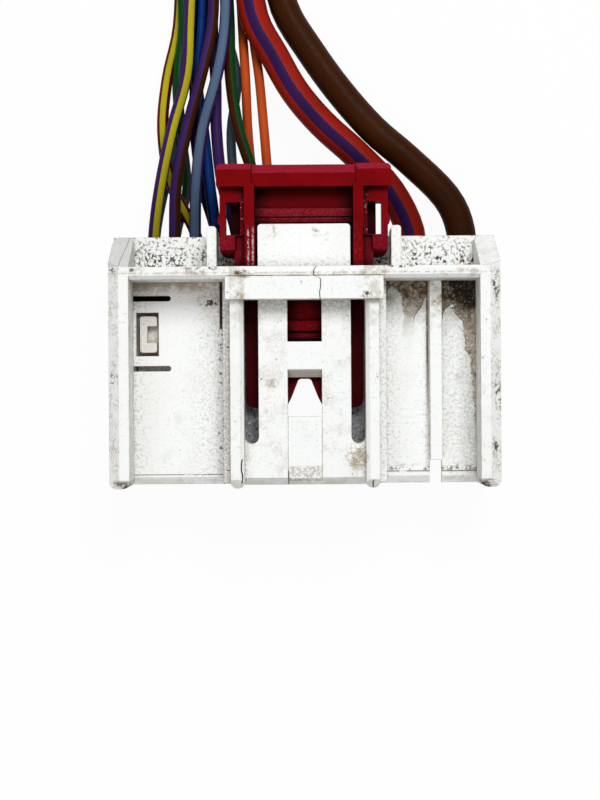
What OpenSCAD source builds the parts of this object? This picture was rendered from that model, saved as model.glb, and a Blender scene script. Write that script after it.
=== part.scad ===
// Wire to board connector housing: a white moulded plug for a board header,
// with a red lock slide, a carrier of small signal contacts, two power
// contacts and the cut wires that lead out of it.
// It lies on its back: +Y points to the wires, -Y to the mating end and +Z
// out of the latch side. The origin is on the back face.

/* [Housing] */
// Width across the two end walls
housing_w = 54.8; // [54:0.2:60]
// Distance from the origin to the mating edge
mating_reach = 17.5; // [17:0.1:20]
// Distance from the origin to the wire end
wire_reach = 18; // [17.6:0.1:21]
// Distance from the origin to where the hood begins, towards the mating edge
hood_start = 2; // [1.6:0.1:2.2]
// Height of the whole housing, up to the top of the bridge
housing_h = 22; // [21.6:0.1:23]
// Height of the recessed panels beside the wires
panel_z = 11; // [10.8:0.1:11.6]
// Thickness of the hood walls
wall = 1.2; // [1:0.05:1.5]
// Bevel along the mating edges
edge_bevel = 1; // [0.6:0.1:1.2]
// Length of the hood's back wall
back_wall_l = 10.5; // [8:0.5:12]
// Width of the clearance in the middle of the back wall
back_gap_w = 10; // [8:0.5:12]

/* [Rails and ledge] */
// Width of the outer rails
outer_rail_w = 2.95; // [2.6:0.05:3.4]
// Bevel on the outer rails' outside edges
outer_bevel = 1.5; // [1:0.1:1.8]
// How far the rail noses stand past the mating edge
rail_over = 0.4; // [0.2:0.1:0.8]
// Length of the slope on the rail noses
nose_slope = 1.2; // [0.6:0.1:1.6]
// Width of the channel between the inner rails
channel_w = 17; // [16.6:0.1:17.4]
// Width of an inner rail's crest
inner_rail_w = 1.9; // [1.6:0.1:2.2]
// Bevel on the inner rails, on the channel side
rail_bevel = 0.5; // [0.2:0.1:0.8]
// Width of the step outside each inner rail
step_w = 1.1; // [0.8:0.1:1.3]
// Depth of that step under the front plane
step_drop = 3; // [2:0.2:4]
// Where the ledge's lower face is
ledge_y = 11.3; // [11:0.1:11.6]
// Thickness of the ledge
ledge_t = 1.75; // [1.4:0.05:2]
// Bevel on the ledge's lower front edge
ledge_bevel = 0.5; // [0.2:0.1:0.8]
// Thickness of the roof over the latch opening
roof_t = 1.4; // [1.2:0.1:1.8]
// Length of the bridge along the latch arm
bridge_l = 2.9; // [2.4:0.1:3.2]
// How far the bridge stands proud of the front plane
bridge_rise = 1; // [0.6:0.1:1.4]
// Width of the bridge
bridge_w = 22; // [21.4:0.2:23]
// Thickness of the guard ribs beside the lock slide
guard_t = 1.4; // [1:0.1:1.8]
// Height of the guard ribs over the recessed panels
guard_h = 6; // [5:0.2:7]
// Length of the guard ribs past the wire end
guard_over = 1; // [0.6:0.1:1.2]

/* [Latch arm] */
// Width of the latch arm
arm_w = 13; // [12.6:0.1:13.2]
// Thickness of the latch arm
arm_t = 1.8; // [1.5:0.1:2.1]
// Width of the windows in the arm
window_w = 4.8; // [4.2:0.2:5.2]
// Where the arm's thumb tab ends, from the origin
tab_y = 19.1; // [18.6:0.1:19.3]
// Corner radius of the thumb tab
tab_r = 0.5; // [0.3:0.1:1.2]
// Where the arm joins the housing, from the origin
root_y = 11.7; // [11:0.1:12.4]
// Length of the catch bar's flat crest
catch_l = 3.9; // [3.4:0.1:4.2]
// Length of the catch bar's sloped underside
catch_slope = 1.1; // [0.8:0.1:1.3]
// Where the catch bar ends, from the origin
catch_y = 2.6; // [2.4:0.1:2.8]
// Length of the upper window
window_l = 5.9; // [5:0.1:6]
// Length of the lower window
lower_window_l = 5.5; // [5:0.1:6]

/* [Left bay] */
// Length of the two slots beside the snap tongue
tongue_l = 5.4; // [5:0.1:6]
// Width of those slots
tongue_slot_w = 0.75; // [0.6:0.05:1]
// Where the upper slot is
tongue_top_y = 9; // [8.6:0.1:9.6]
// Where the lower slot is
tongue_low_y = -1; // [-1.2:0.1:-0.7]
// Width of the pocket for the carrier's catch nose
pocket_w = 3.2; // [3:0.1:3.6]
// Length of that pocket
pocket_l = 6.2; // [5.8:0.1:6.8]
// Where the middle of the pocket is
pocket_y = 3.9; // [3.6:0.1:4.4]

/* [Right bay] */
// Width of the rib in the right bay
bay_rib_w = 1.7; // [1.4:0.1:2]
// Distance from the end wall's outside to the middle of that rib
bay_rib_inset = 8.8; // [8.4:0.1:9.2]
// Height of that rib over the bay floor
bay_rib_h = 2; // [1.4:0.1:3]
// Length of the notch below it
notch_l = 3.3; // [2.6:0.1:3.8]

/* [Lock slide] */
// Thickness of the slide's plate
slide_t = 1.8; // [1.5:0.1:2]
// Height of the cross ridges on it
ridge_h = 0.5; // [0.3:0.1:0.6]
// Width of the handle bar
handle_w = 24.6; // [24:0.2:26]
// Where the handle bar begins, from the origin
handle_y = 24.4; // [24:0.1:26]
// Width of the handle bar's front
handle_l = 3.2; // [2.8:0.1:3.8]
// Height of the handle bar
handle_h = 5.6; // [5:0.1:5.8]
// Width across the slide's outer arms
arms_w = 23.7; // [23.4:0.1:23.9]
// Where the outer arms end, from the origin
arms_y = 14.6; // [14.5:0.1:15]
// Width of an outer arm's bar
arm_bar_w = 0.85; // [0.7:0.05:1]
// Width of the windows in the outer arms
arm_window_w = 2.05; // [1.8:0.05:2.3]
// Corner radius of the outer arms' feet
foot_r = 1.2; // [0.6:0.1:1.5]
// Reach of the detent bumps
bump_h = 0.28; // [0.2:0.02:0.3]
// Where the slide's legs end, from the origin
leg_reach = 6.7; // [6:0.1:7]
// Radius of the legs' outer corners
leg_r = 1.2; // [0.8:0.1:1.6]

/* [Signal contacts] */
// Distance between neighbouring signal contacts
signal_pitch = 3; // [2.9:0.02:3.04]
// Distance between the two rows
row_pitch = 3.4; // [3.2:0.1:3.6]
// Width of a signal contact
signal_w = 1.7; // [1.5:0.05:1.8]
// Height of a signal contact
signal_h = 1.6; // [1.4:0.05:1.7]
// Diameter of the holes that the signal wires leave by
signal_bore = 2.2; // [2:0.1:2.4]
// Distance from the end wall's outside to the carrier
carrier_inset = 3.3; // [3.2:0.1:3.6]

/* [Power contacts] */
// Distance from the end wall's outside to the middle of the outer power contact
power_inset = 4.4; // [4.3:0.05:4.6]
// Distance between the two power contacts
power_pitch = 7.4; // [7.1:0.1:7.5]
// Width of a power contact
power_w = 4.6; // [4.2:0.1:4.8]
// Height of a power contact
power_h = 3.7; // [3.3:0.1:3.9]
// Diameter of the holes that the power wires leave by
power_bore = 4.8; // [4.6:0.1:5]

/* [Wires] */
// Diameter of the signal wires
wire_d = 1.7; // [1.5:0.1:1.8]
// Diameter of the thin signal wires
thin_wire_d = 1.4; // [1.2:0.1:1.5]
// Diameter of the power wires
power_wire_d = 4.3; // [3.9:0.1:4.3]

/* [Fits] */
// Gap round the lock slide
slide_gap = 0.2; // [0.15:0.05:0.3]
// Gap between the ridges and the latch arm
arm_gap = 0.5; // [0.4:0.1:0.8]
// Gap between the latch arm and the roof over it
roof_gap = 0.8; // [0.6:0.1:1.2]
// Gap round the signal carrier
carrier_gap = 0.2; // [0.1:0.05:0.3]
// Gap round each contact
contact_gap = 0.15; // [0.1:0.05:0.2]

/* [Hidden] */
$fn = 48;
sliver = 0.01;
root_sink = 0.15;

// Outline of the housing
half_w = housing_w / 2;
edge_y = -mating_reach;
nose_y = edge_y - rail_over;
block_y = -hood_start;
bay_x = half_w - outer_rail_w;
channel_x = channel_w / 2;
rail_x = channel_x + inner_rail_w;
step_x = rail_x + step_w;
bay_rib_x = half_w - bay_rib_inset;
ledge_top = ledge_y + ledge_t;
rail_end_y = ledge_y + 0.4;
edge_drop = edge_bevel * 0.7;

// Heights, stacked from the front plane down to the bay floors
front_z = housing_h - bridge_rise;
roof_z = front_z - roof_t;
arm_top = roof_z - roof_gap;
arm_z = arm_top - arm_t;
ridge_z = arm_z - arm_gap;
plate_z = ridge_z - ridge_h;
slide_z = plate_z - slide_t;
floor_z = slide_z - slide_gap;
rail_step_z = front_z - step_drop;

// Lock slide
plate_x = channel_x - slide_gap;
arm_x = arm_w / 2;
post_x = arm_x + 2 * slide_gap;
arms_x = arms_w / 2;
foot_x = arms_x - 2.05;
post_top = arm_top - slide_gap;
arms_top = slide_z + 3.3;
opening_x = foot_x + slide_gap + 0.1;
guard_x = arms_x + bump_h + slide_gap;
window_x = window_w / 2;
feet_y = ledge_y + 2;
arch_top_y = catch_y - catch_l - catch_slope - 0.2;
arch_r = 0.6;
arch_corner_x = 0.45;
frame_x = arms_x - arm_bar_w - arm_window_w;
deck_x = frame_x + 1.3;
deck_t = 0.8;

// Signal contacts
signal_count = 7;
front_row_z = panel_z - 1.5 - signal_bore / 2;
back_row_z = front_row_z - row_pitch;
carrier_x = carrier_inset - half_w;
first_x = carrier_x + 2.3;
last_x = first_x + (signal_count - 1) * signal_pitch;
carrier_end_x = last_x + 1.9;
carrier_z = back_row_z - 2.6;
carrier_top = front_row_z + 2.1;
carrier_end_y = ledge_top - 0.25;
contact_y = block_y + 0.9;
contact_end_y = carrier_end_y - 0.8;
contact_box_l = 8;
crimp_l = 3;
contact_places = concat(
    [for (i = [0:signal_count - 1]) [first_x + i * signal_pitch, front_row_z]],
    [for (i = [0:signal_count - 2]) [first_x + i * signal_pitch, back_row_z]]);

// Power contacts
power_z = panel_z - 1.6 - power_bore / 2;
power_end_y = ledge_top + 0.45;
power_places = [half_w - power_inset - power_pitch, half_w - power_inset];

// Wire routes at the sizes above: each starts at its contact and runs through its hole
routes = [
    [[-21.8, 12, 8.4], [-21.8, 18.6, 8.4], [-20.8, 26, 8.5], [-19.1, 34, 8.3],
     [-17, 42, 7.4], [-16.6, 50, 6], [-16.3, 60, 4.5], [-16.4, 72, 4]],
    [[-18.8, 12, 8.4], [-18.8, 18.6, 8.4], [-18.5, 26, 8.4], [-16.9, 34, 8.2],
     [-14.8, 42, 7.4], [-13.2, 50, 6], [-13.1, 60, 4.5], [-13.4, 72, 4]],
    [[-15.8, 12, 8.4], [-15.8, 18.6, 8.4], [-15.6, 26, 8.4], [-14.6, 34, 8.4],
     [-12.5, 42, 7.4], [-11.3, 50, 6], [-11.3, 60, 4.6], [-11.6, 72, 4.1]],
    [[-12.8, 12, 8.4], [-12.8, 18.6, 8.4], [-13.7, 26, 7.5], [-14.6, 34, 6.2],
     [-15.6, 42, 5.2], [-15, 50, 4.3], [-14.7, 60, 3.1], [-14.9, 72, 2.7]],
    [[-9.8, 12, 8.4], [-9.8, 18.6, 8.4], [-11.8, 26, 8.2], [-12.7, 34, 6.1],
     [-12.8, 42, 5.1], [-13.3, 50, 3.6], [-13, 60, 2.4], [-13.1, 72, 2.1]],
    [[-6.8, 12, 8.4], [-6.8, 18.6, 8.4], [-7, 26, 8.2], [-9.4, 34, 7.6],
     [-10.6, 42, 5.9], [-10.8, 50, 3.9], [-11.2, 60, 2.6], [-11.3, 72, 2.3]],
    [[-3.8, 12, 8.4], [-3.8, 18.6, 8.4], [-5, 26, 8], [-5.7, 34, 6.4],
     [-6.4, 42, 5], [-7.4, 50, 2.2], [-7.6, 60, 0.9], [-7.6, 72, 0.8]],
    [[-21.8, 12, 5], [-21.8, 18.6, 5], [-20.5, 26, 3.9], [-18.5, 34, 3.3],
     [-18.7, 42, 2.5], [-17.9, 50, 1.4], [-17.1, 60, 0.8], [-16.9, 72, 0.8]],
    [[-18.8, 12, 5], [-18.8, 18.6, 5], [-17.3, 26, 3], [-17.9, 34, 5.2],
     [-18.3, 42, 5.9], [-17.6, 50, 4.6], [-18, 60, 3.9], [-18.2, 72, 3.5]],
    [[-15.8, 12, 5], [-15.8, 18.6, 5], [-19.3, 26, 6.4], [-20.6, 34, 5.9],
     [-20, 42, 4.4], [-18.4, 50, 3], [-18.1, 60, 2.2], [-18.3, 72, 1.9]],
    [[-12.8, 12, 5], [-12.8, 18.6, 5], [-14.8, 26, 4.8], [-15.9, 34, 4.2],
     [-15.9, 42, 3.2], [-15.4, 50, 2.4], [-15.4, 60, 1.1], [-15.2, 72, 0.9]],
    [[-9.8, 12, 5], [-9.8, 18.6, 5], [-10.2, 26, 5], [-10.6, 34, 4.8],
     [-9.7, 42, 3.9], [-11.3, 50, 1.7], [-11.7, 60, 0.8], [-11.8, 72, 0.7]],
    [[-6.8, 12, 5], [-6.8, 18.6, 5], [-7.4, 26, 5.2], [-8.1, 34, 5.2],
     [-8.4, 42, 5.2], [-8.9, 50, 2.4], [-9.3, 60, 0.9], [-9.4, 72, 0.8]]];
power_routes = [
    [[15.6, 13.5, 7], [15.6, 19, 7], [12.7, 25, 7], [7.9, 30.2, 7], [2.9, 34.8, 7],
     [-1.1, 39.6, 6.8], [-4.1, 45, 6.2], [-7.1, 51, 5.4], [-8.1, 60, 4.1], [-8.3, 72, 3.7]],
    [[23, 13.5, 7], [23, 19, 7], [20.9, 24, 7], [15.4, 29.5, 7], [10.3, 34, 6.8],
     [5.5, 39.6, 6.2], [1.2, 45.8, 5.2], [-2.6, 52.5, 4], [-3.6, 60, 2.9], [-3.7, 72, 2.3]]];

// ---------- helpers ----------

// A box between two corners
module block(low, high) {
    translate(low) cube(high - low);
}

// A prism of an outline in X and Y
module upright(points, z0, z1) {
    translate([0, 0, z0]) linear_extrude(z1 - z0) polygon(points);
}

// A prism along X of an outline in Y and Z
module along_x(points, x0, x1) {
    translate([x0, 0, 0]) rotate([90, 0, 90]) linear_extrude(x1 - x0) polygon(points);
}

// A prism along Y of an outline in X and Z
module along_y(points, y0, y1) {
    translate([0, y1, 0]) rotate([90, 0, 0]) linear_extrude(y1 - y0) polygon(points);
}

// A round bar along Y
module rod(x, z, d, y0, y1) {
    translate([x, y1, z]) rotate([90, 0, 0]) cylinder(d = d, h = y1 - y0);
}

// The shape and its mirror image across the middle
module both_sides() {
    children();
    mirror([1, 0, 0]) children();
}

function arc(cx, cy, r, from, to) =
    [for (i = [0:6]) let (a = from + (to - from) * i / 6) [cx + r * cos(a), cy + r * sin(a)]];

// A rectangle with its own radius at each end in Y
function round_ends(x0, y0, x1, y1, low_r, high_r) = concat(
    arc(x1 - high_r, y1 - high_r, high_r, 0, 90), arc(x0 + high_r, y1 - high_r, high_r, 90, 180),
    arc(x0 + low_r, y0 + low_r, low_r, 180, 270), arc(x1 - low_r, y0 + low_r, low_r, 270, 360));

// ---------- housing ----------

// The terminal block, the bay floors with their bevelled edge and the hood's end walls
module body_block() {
    along_x([[block_y, 0], [wire_reach, 0], [wire_reach, panel_z], [ledge_top, panel_z],
        [ledge_top, floor_z], [edge_y + edge_bevel, floor_z], [edge_y, floor_z - edge_drop],
        [edge_y, floor_z - wall], [block_y, floor_z - wall]], -half_w, half_w);
    both_sides() block([half_w - 1.25 * wall, edge_y, 0], [half_w, block_y + sliver, floor_z]);
    both_sides() block([back_gap_w / 2, block_y - back_wall_l, 0],
        [half_w, block_y + sliver, wall]);
    block([step_x - 2 * wall, edge_y, 0], [step_x - wall, block_y + sliver, floor_z - wall / 2]);
}

// An end wall: a rail with a round nose and a shoulder that slopes to the wire end
module outer_rail() {
    difference() {
        upright(round_ends(bay_x, nose_y, half_w, wire_reach, outer_rail_w / 2.6, 1.2),
            panel_z - 1, front_z);
        nose_cut(half_w);
        along_x([[ledge_top, front_z], [wire_reach + 1, panel_z - (front_z - panel_z) / 5],
            [wire_reach + 1, front_z + 1], [ledge_top, front_z + 1]], 0, half_w + 1);
        along_y([[half_w - outer_bevel, front_z + sliver], [half_w + sliver, front_z - outer_bevel],
            [half_w + 1, front_z + sliver]], nose_y - 1, wire_reach + 1);
    }
}

// The slope on the front of a rail's nose
module nose_cut(x) {
    along_x([[nose_y - 1, front_z - 2 * nose_slope], [nose_y, front_z - nose_slope],
        [nose_y + nose_slope, front_z], [nose_y + nose_slope, front_z + 1],
        [nose_y - 1, front_z + 1]], 0, x + 1);
}

// An inner rail with a low step on its outside and a round nose
module inner_rail() {
    difference() {
        upright(round_ends(channel_x, nose_y, rail_x, rail_end_y, inner_rail_w / 2.2, 0.1),
            floor_z - 0.5, front_z);
        nose_cut(rail_x);
        along_y([[channel_x - 1, front_z - rail_bevel - 1], [channel_x + rail_bevel, front_z],
            [channel_x + rail_bevel, front_z + 1], [channel_x - 1, front_z + 1]],
            nose_y - 1, rail_end_y + 1);
    }
    upright(round_ends(channel_x, edge_y + 0.3, step_x, rail_end_y, 0.3, 0.1),
        floor_z - 0.5, rail_step_z);
}

// The wall across the front, open in the middle for the latch arm and the slide
module ledge() {
    difference() {
        along_x([[ledge_y, panel_z - 1], [ledge_top, panel_z - 1], [ledge_top, front_z],
            [ledge_y + ledge_bevel, front_z], [ledge_y, front_z - ledge_bevel]],
            outer_bevel - half_w, half_w - outer_bevel);
        block([-opening_x, ledge_y - 1, floor_z], [opening_x, ledge_top + 1, roof_z]);
    }
    both_sides() block([channel_x, ledge_y, floor_z - 1],
        [opening_x + 1, rail_end_y, front_z - ledge_bevel]);
}

// The bar that bridges the latch arm below the ledge
module bridge() {
    upright(round_ends(-bridge_w / 2, ledge_y - bridge_l, bridge_w / 2, ledge_y + 0.3, 0.3, 0.1),
        roof_z, front_z + bridge_rise);
}

module guard_rib() {
    upright(round_ends(guard_x, ledge_y, guard_x + guard_t, wire_reach + guard_over,
        0.1, guard_t / 3), panel_z - wall, panel_z + guard_h);
}

// The latch arm: two legs, a catch bar, a thumb tab and the root plate they spring from
module latch_arm() {
    window_top = catch_y + window_l;
    difference() {
        upright(round_ends(-arm_x, -root_y - 1, arm_x, tab_y, 0.1, tab_r), arm_z, arm_top);
        block([-window_x, catch_y, arm_z - 1], [window_x, window_top, arm_top + 1]);
        block([-window_x, catch_y - catch_l - catch_slope - lower_window_l, arm_z - 1],
            [window_x, catch_y, arm_top + 1]);
        block([-window_x, -root_y - 2, arm_top - root_sink], [window_x, catch_y, arm_top + 1]);
    }
    along_x([[catch_y, arm_z], [catch_y, arm_top], [catch_y - catch_l, arm_top],
        [catch_y - catch_l - catch_slope, arm_z + 0.3], [catch_y - catch_l - catch_slope, arm_z]],
        -window_x - sliver, window_x + sliver);
    latch_root();
}

// The root plate between the inner rails, with round-ended slots beside the arm
module latch_root() {
    slot_x = (arm_x + channel_x) / 2;
    slot_r = (channel_x - arm_x) / 2;
    difference() {
        along_x([[edge_y, floor_z - 0.5], [edge_y, arm_top - 1.5 * edge_bevel],
            [edge_y + edge_bevel, arm_top], [-root_y + slot_r, arm_top],
            [-root_y + slot_r, floor_z - 0.5]], -channel_x - sliver, channel_x + sliver);
        both_sides() translate([slot_x, -root_y + slot_r, floor_z])
            cylinder(r = slot_r, h = front_z);
        block([-window_x, edge_y - 1, arm_top - root_sink], [window_x, -root_y + 1.5, arm_top + 1]);
    }
}

module bay_rib() {
    block([bay_rib_x - bay_rib_w / 2, edge_y + notch_l, floor_z - 0.5],
        [bay_rib_x + bay_rib_w / 2, ledge_y + 0.3, floor_z + bay_rib_h]);
}

// Where the signal carrier slides in, with the holes for its wires behind it
module carrier_cavity() {
    block([carrier_x - carrier_gap, block_y - 1, carrier_z - carrier_gap],
        [carrier_end_x + carrier_gap, carrier_end_y + carrier_gap, floor_z - wall - 0.2]);
    for (place = contact_places)
        rod(place.x, place.y, signal_bore, ledge_top - 1, wire_reach + 1);
}

// A stepped cavity for each power contact
module power_cavities() {
    for (x = power_places) {
        block([x - power_w / 2 - contact_gap, contact_y - contact_gap, power_z - power_h / 2 - contact_gap],
            [x + power_w / 2 + contact_gap, power_end_y - 3.4, power_z + power_h / 2 + contact_gap]);
        block([x - power_w / 3, block_y - 1, power_z - 0.5], [x + power_w / 3, contact_y, power_z + 0.5]);
        rod(x, power_z, power_bore, power_end_y - 3.6, wire_reach + 1);
    }
}

// The snap tongue over the carrier: two slots, and the pocket for the catch nose
module tongue_cuts() {
    z0 = floor_z - wall - 1;
    slot_end_x = tongue_l - bay_x - tongue_slot_w / 2;
    for (y = [tongue_top_y, tongue_low_y]) {
        block([-bay_x, y - tongue_slot_w / 2, z0], [slot_end_x, y + tongue_slot_w / 2, floor_z + 1]);
        translate([slot_end_x, y, z0]) cylinder(d = tongue_slot_w, h = floor_z + 1 - z0);
    }
    block([0.45 - bay_x, pocket_y - pocket_l / 2, z0],
        [0.45 - bay_x + pocket_w, pocket_y + pocket_l / 2, floor_z + 1]);
}

module housing() {
    color("whitesmoke") difference() {
        union() {
            body_block();
            ledge();
            bridge();
            latch_arm();
            bay_rib();
            both_sides() {
                outer_rail();
                inner_rail();
                guard_rib();
            }
        }
        carrier_cavity();
        power_cavities();
        tongue_cuts();
        // The clearance under the lower window and the notch below the bay rib
        block([-window_x - 0.2, catch_y - catch_l - catch_slope - lower_window_l - 0.3, floor_z - 3],
            [window_x + 0.2, block_y - 0.4, floor_z + 0.5]);
        block([bay_rib_x - bay_rib_w / 2, edge_y - 1, floor_z - 3],
            [bay_rib_x + bay_rib_w / 2, edge_y + notch_l, floor_z + 1]);
    }
}

// ---------- signal carrier ----------

// A block with a stepped cavity for each signal contact and a catch nose on its front
module signal_carrier() {
    nose_x = 0.95 - bay_x;
    nose_w = pocket_w - 0.75;
    nose_l = pocket_l - 1;
    pad_x = max(nose_x - 1, carrier_x);
    color("gainsboro") difference() {
        union() {
            block([carrier_x, block_y, carrier_z], [carrier_end_x, carrier_end_y, carrier_top]);
            upright(round_ends(nose_x, pocket_y - nose_l / 2, nose_x + nose_w,
                pocket_y + nose_l / 2, 0.4, 0.4), carrier_top - sliver, floor_z - 0.4);
            block([pad_x, pocket_y - pocket_l / 2 - 1, carrier_top - sliver],
                [nose_x + nose_w + 1, pocket_y + pocket_l / 2 + 1, floor_z - wall - 0.2 - carrier_gap]);
        }
        block([nose_x + nose_w * 0.43, pocket_y - nose_l / 4.4, floor_z - 1.6],
            [nose_x + nose_w + 1, pocket_y + nose_l / 4.4, floor_z]);
        for (i = [0:2 * signal_count - 1]) {
            x = first_x + (i % signal_count) * signal_pitch;
            z = i < signal_count ? front_row_z : back_row_z;
            block([x - signal_w / 2 - contact_gap, contact_y - contact_gap, z - signal_h / 2 - contact_gap],
                [x + signal_w / 2 + contact_gap, carrier_end_y + 1, z + signal_h / 2 + contact_gap]);
            block([x - signal_w / 4, block_y - 1, z - signal_w / 4],
                [x + signal_w / 4, contact_y, z + signal_w / 4]);
        }
    }
}

// ---------- lock slide ----------

// The plate that lies under the latch arm, with an arched cut between its two legs
module slide_plate() {
    arch_y = arch_top_y - arch_r;
    difference() {
        upright(round_ends(-plate_x, -leg_reach, plate_x, handle_y + 0.5, leg_r, 0.1),
            slide_z, plate_z);
        upright(concat([[-window_x - 0.4, -leg_reach - 1], [window_x + 0.4, -leg_reach - 1]],
            [[window_x, -leg_reach + 0.5], [0.8 * window_x, -leg_reach + 1.4]],
            arc(arch_corner_x, arch_y, arch_r, 10, 90), arc(-arch_corner_x, arch_y, arch_r, 90, 170),
            [[-0.8 * window_x, -leg_reach + 1.4], [-window_x, -leg_reach + 0.5]]),
            slide_z - 1, plate_z + 1);
    }
    // Cross ridges: two behind the tab, two in the upper window
    for (span = [[tab_y + 0.4, tab_y + 1.1], [tab_y + 1.25, tab_y + 2.4],
            [catch_y + 0.5, catch_y + 1.2], [catch_y + 1.6, catch_y + 3]])
        block([-post_x, span[0], plate_z - 0.2], [post_x, span[1], ridge_z]);
}

// The handle bar, bevelled towards the wires, with a thicker block at each end
module handle() {
    z0 = arms_top - 4.5;
    end_y = handle_y + handle_l;
    top = z0 + handle_h;
    along_x([[handle_y, z0], [end_y, z0], [end_y, top - 1.5], [end_y - 1.3, top - 0.2],
        [handle_y, top - 0.2]], -handle_w / 2 + 0.5, handle_w / 2 - 0.5);
    both_sides() intersection() {
        along_x([[handle_y, z0], [end_y + 0.1, z0], [end_y + 0.1, top - 0.9],
            [end_y - 0.8, top], [handle_y, top]], handle_w / 2 - 4.9, handle_w / 2);
        upright(round_ends(handle_w / 2 - 6, handle_y, handle_w / 2, end_y + 0.1, 0.3, 0.7), z0, top);
    }
}

// A post beside the thumb tab, and the sprung outer arm with its window, bump and foot
module slide_arm() {
    foot_top = arms_y + 3.1;
    block([post_x + 0.05, tab_y, slide_z], [plate_x + 0.1, handle_y + 0.5, post_top]);
    block([post_x, ledge_y - 1.3, slide_z], [plate_x, tab_y + sliver, post_top]);
    block([plate_x - sliver, handle_y - 2.1, slide_z], [arms_x, handle_y + 0.5, arms_top]);
    block([arms_x - arm_bar_w, foot_top - 0.5, slide_z], [arms_x, handle_y, arms_top]);
    block([plate_x - 0.5, feet_y, slide_z], [foot_x, foot_top, arms_top - 0.4]);
    // The window's inner wall and the low deck under it
    block([plate_x - sliver, foot_top - sliver, slide_z], [frame_x, handle_y, arms_top]);
    block([frame_x - sliver, foot_top - sliver, slide_z], [deck_x, handle_y - 2, slide_z + deck_t]);
    // The foot, with its lower end rounded over
    difference() {
        upright(round_ends(foot_x - 1.3, arms_y, arms_x, foot_top, foot_r, 0.1), slide_z, arms_top);
        along_x([[arms_y - 1, arms_top - 2], [arms_y, arms_top - 1.4], [arms_y + 1, arms_top],
            [arms_y + 1, arms_top + 1], [arms_y - 1, arms_top + 1]], 0, arms_x + 1);
        block([0, arms_y - 1, slide_z - 1], [foot_x - 0.1, foot_top - 0.1, arms_top + 1]);
    }
    upright([[arms_x - sliver, tab_y], [arms_x + bump_h, tab_y + 0.3], [arms_x + bump_h, tab_y + 1],
        [arms_x - sliver, tab_y + 1.6]], slide_z, arms_top);
}

module lock_slide() {
    color("darkred") {
        slide_plate();
        handle();
        both_sides() slide_arm();
    }
}

// ---------- contacts ----------

// A crimped socket contact: a box with a pin hole, a neck and a round crimp
module signal_contact(number) {
    x = contact_places[number].x;
    z = contact_places[number].y;
    box_end = contact_y + contact_box_l;
    color("goldenrod") {
        difference() {
            block([x - signal_w / 2, contact_y, z - signal_h / 2],
                [x + signal_w / 2, box_end, z + signal_h / 2]);
            block([x - signal_w / 4, contact_y - 1, z - signal_h / 4],
                [x + signal_w / 4, box_end - 1, z + signal_h / 4]);
        }
        block([x - signal_w / 3, box_end - sliver, z - signal_h / 3],
            [x + signal_w / 3, contact_end_y - crimp_l + sliver, z + signal_h / 3]);
        rod(x, z, signal_w, contact_end_y - crimp_l, contact_end_y);
    }
}

// A larger contact for a flat blade
module power_contact(number) {
    x = power_places[number];
    z = power_z;
    box_end = power_end_y - 5;
    color("goldenrod") {
        difference() {
            block([x - power_w / 2, contact_y, z - power_h / 2], [x + power_w / 2, box_end, z + power_h / 2]);
            block([x - power_w / 3, contact_y - 1, z - 0.5], [x + power_w / 3, box_end - 1, z + 0.5]);
        }
        block([x - power_w / 3, box_end - sliver, z - power_h / 4],
            [x + power_w / 3, power_end_y - crimp_l + sliver, z + power_h / 4]);
        rod(x, z, power_w - 0.3, power_end_y - crimp_l, power_end_y);
    }
}

// ---------- wires ----------

// The route, moved over so that it starts at the contact; its far end stays
function from_contact(route, start) =
    let (last = len(route) - 1, shift = start - route[0])
    [for (i = [0:last]) route[i] + shift * min(1, (last - i) / (last - 1))];
function unit(v) = v / norm(v);
function heading(p, i) = unit(
    (i > 0 ? unit(p[i] - p[i - 1]) : [0, 0, 0]) + (i < len(p) - 1 ? unit(p[i + 1] - p[i]) : [0, 0, 0]));
function ring(p, i, r) =
    let (t = heading(p, i), side = unit(cross(t, [0, 0, 1])), up = cross(side, t))
    [for (a = [22.5:45:359]) p[i] + r * (cos(a) * side + sin(a) * up)];

// A tube of eight sides along a route
module tube(route, d) {
    last = len(route) - 1;
    points = [for (i = [0:last]) each ring(route, i, d / 2)];
    walls = [for (i = [0:last - 1], j = [0:7])
        [8 * i + j, 8 * i + (j + 1) % 8, 8 * i + 8 + (j + 1) % 8, 8 * i + 8 + j]];
    caps = [[for (j = [7:-1:0]) j], [for (j = [0:7]) 8 * last + j]];
    polyhedron(points, concat(walls, caps));
}

// The wire of the signal contact with that number, and of the power contact
module signal_wire(i, d) {
    place = contact_places[i];
    tube(from_contact(routes[i], [place.x, contact_end_y, place.y]), d);
}

module power_wire(i) {
    tube(from_contact(power_routes[i], [power_places[i], power_end_y, power_z]), power_wire_d);
}

module wire_purple_yellow() { color("indigo") signal_wire(0, wire_d); }
module wire_purple_brown() { color("indigo") signal_wire(1, wire_d); }
module wire_slate_purple() { color("slategray") signal_wire(2, wire_d); }
module wire_blue() { color("mediumblue") signal_wire(3, wire_d); }
module wire_purple() { color("indigo") signal_wire(4, wire_d); }
module wire_brown_green() { color("saddlebrown") signal_wire(5, wire_d); }
module wire_orange_1() { color("orangered") signal_wire(6, thin_wire_d); }
module wire_slate() { color("slategray") signal_wire(7, thin_wire_d); }
module wire_green() { color("darkgreen") signal_wire(8, thin_wire_d); }
module wire_red_yellow() { color("gold") signal_wire(9, wire_d); }
module wire_navy() { color("navy") signal_wire(10, wire_d); }
module wire_grey() { color("gray") signal_wire(11, thin_wire_d); }
module wire_orange_2() { color("orangered") signal_wire(12, thin_wire_d); }
module power_wire_red() { color("firebrick") power_wire(0); }
module power_wire_brown() { color("saddlebrown") power_wire(1); }

// ---------- nodes ----------

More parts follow.
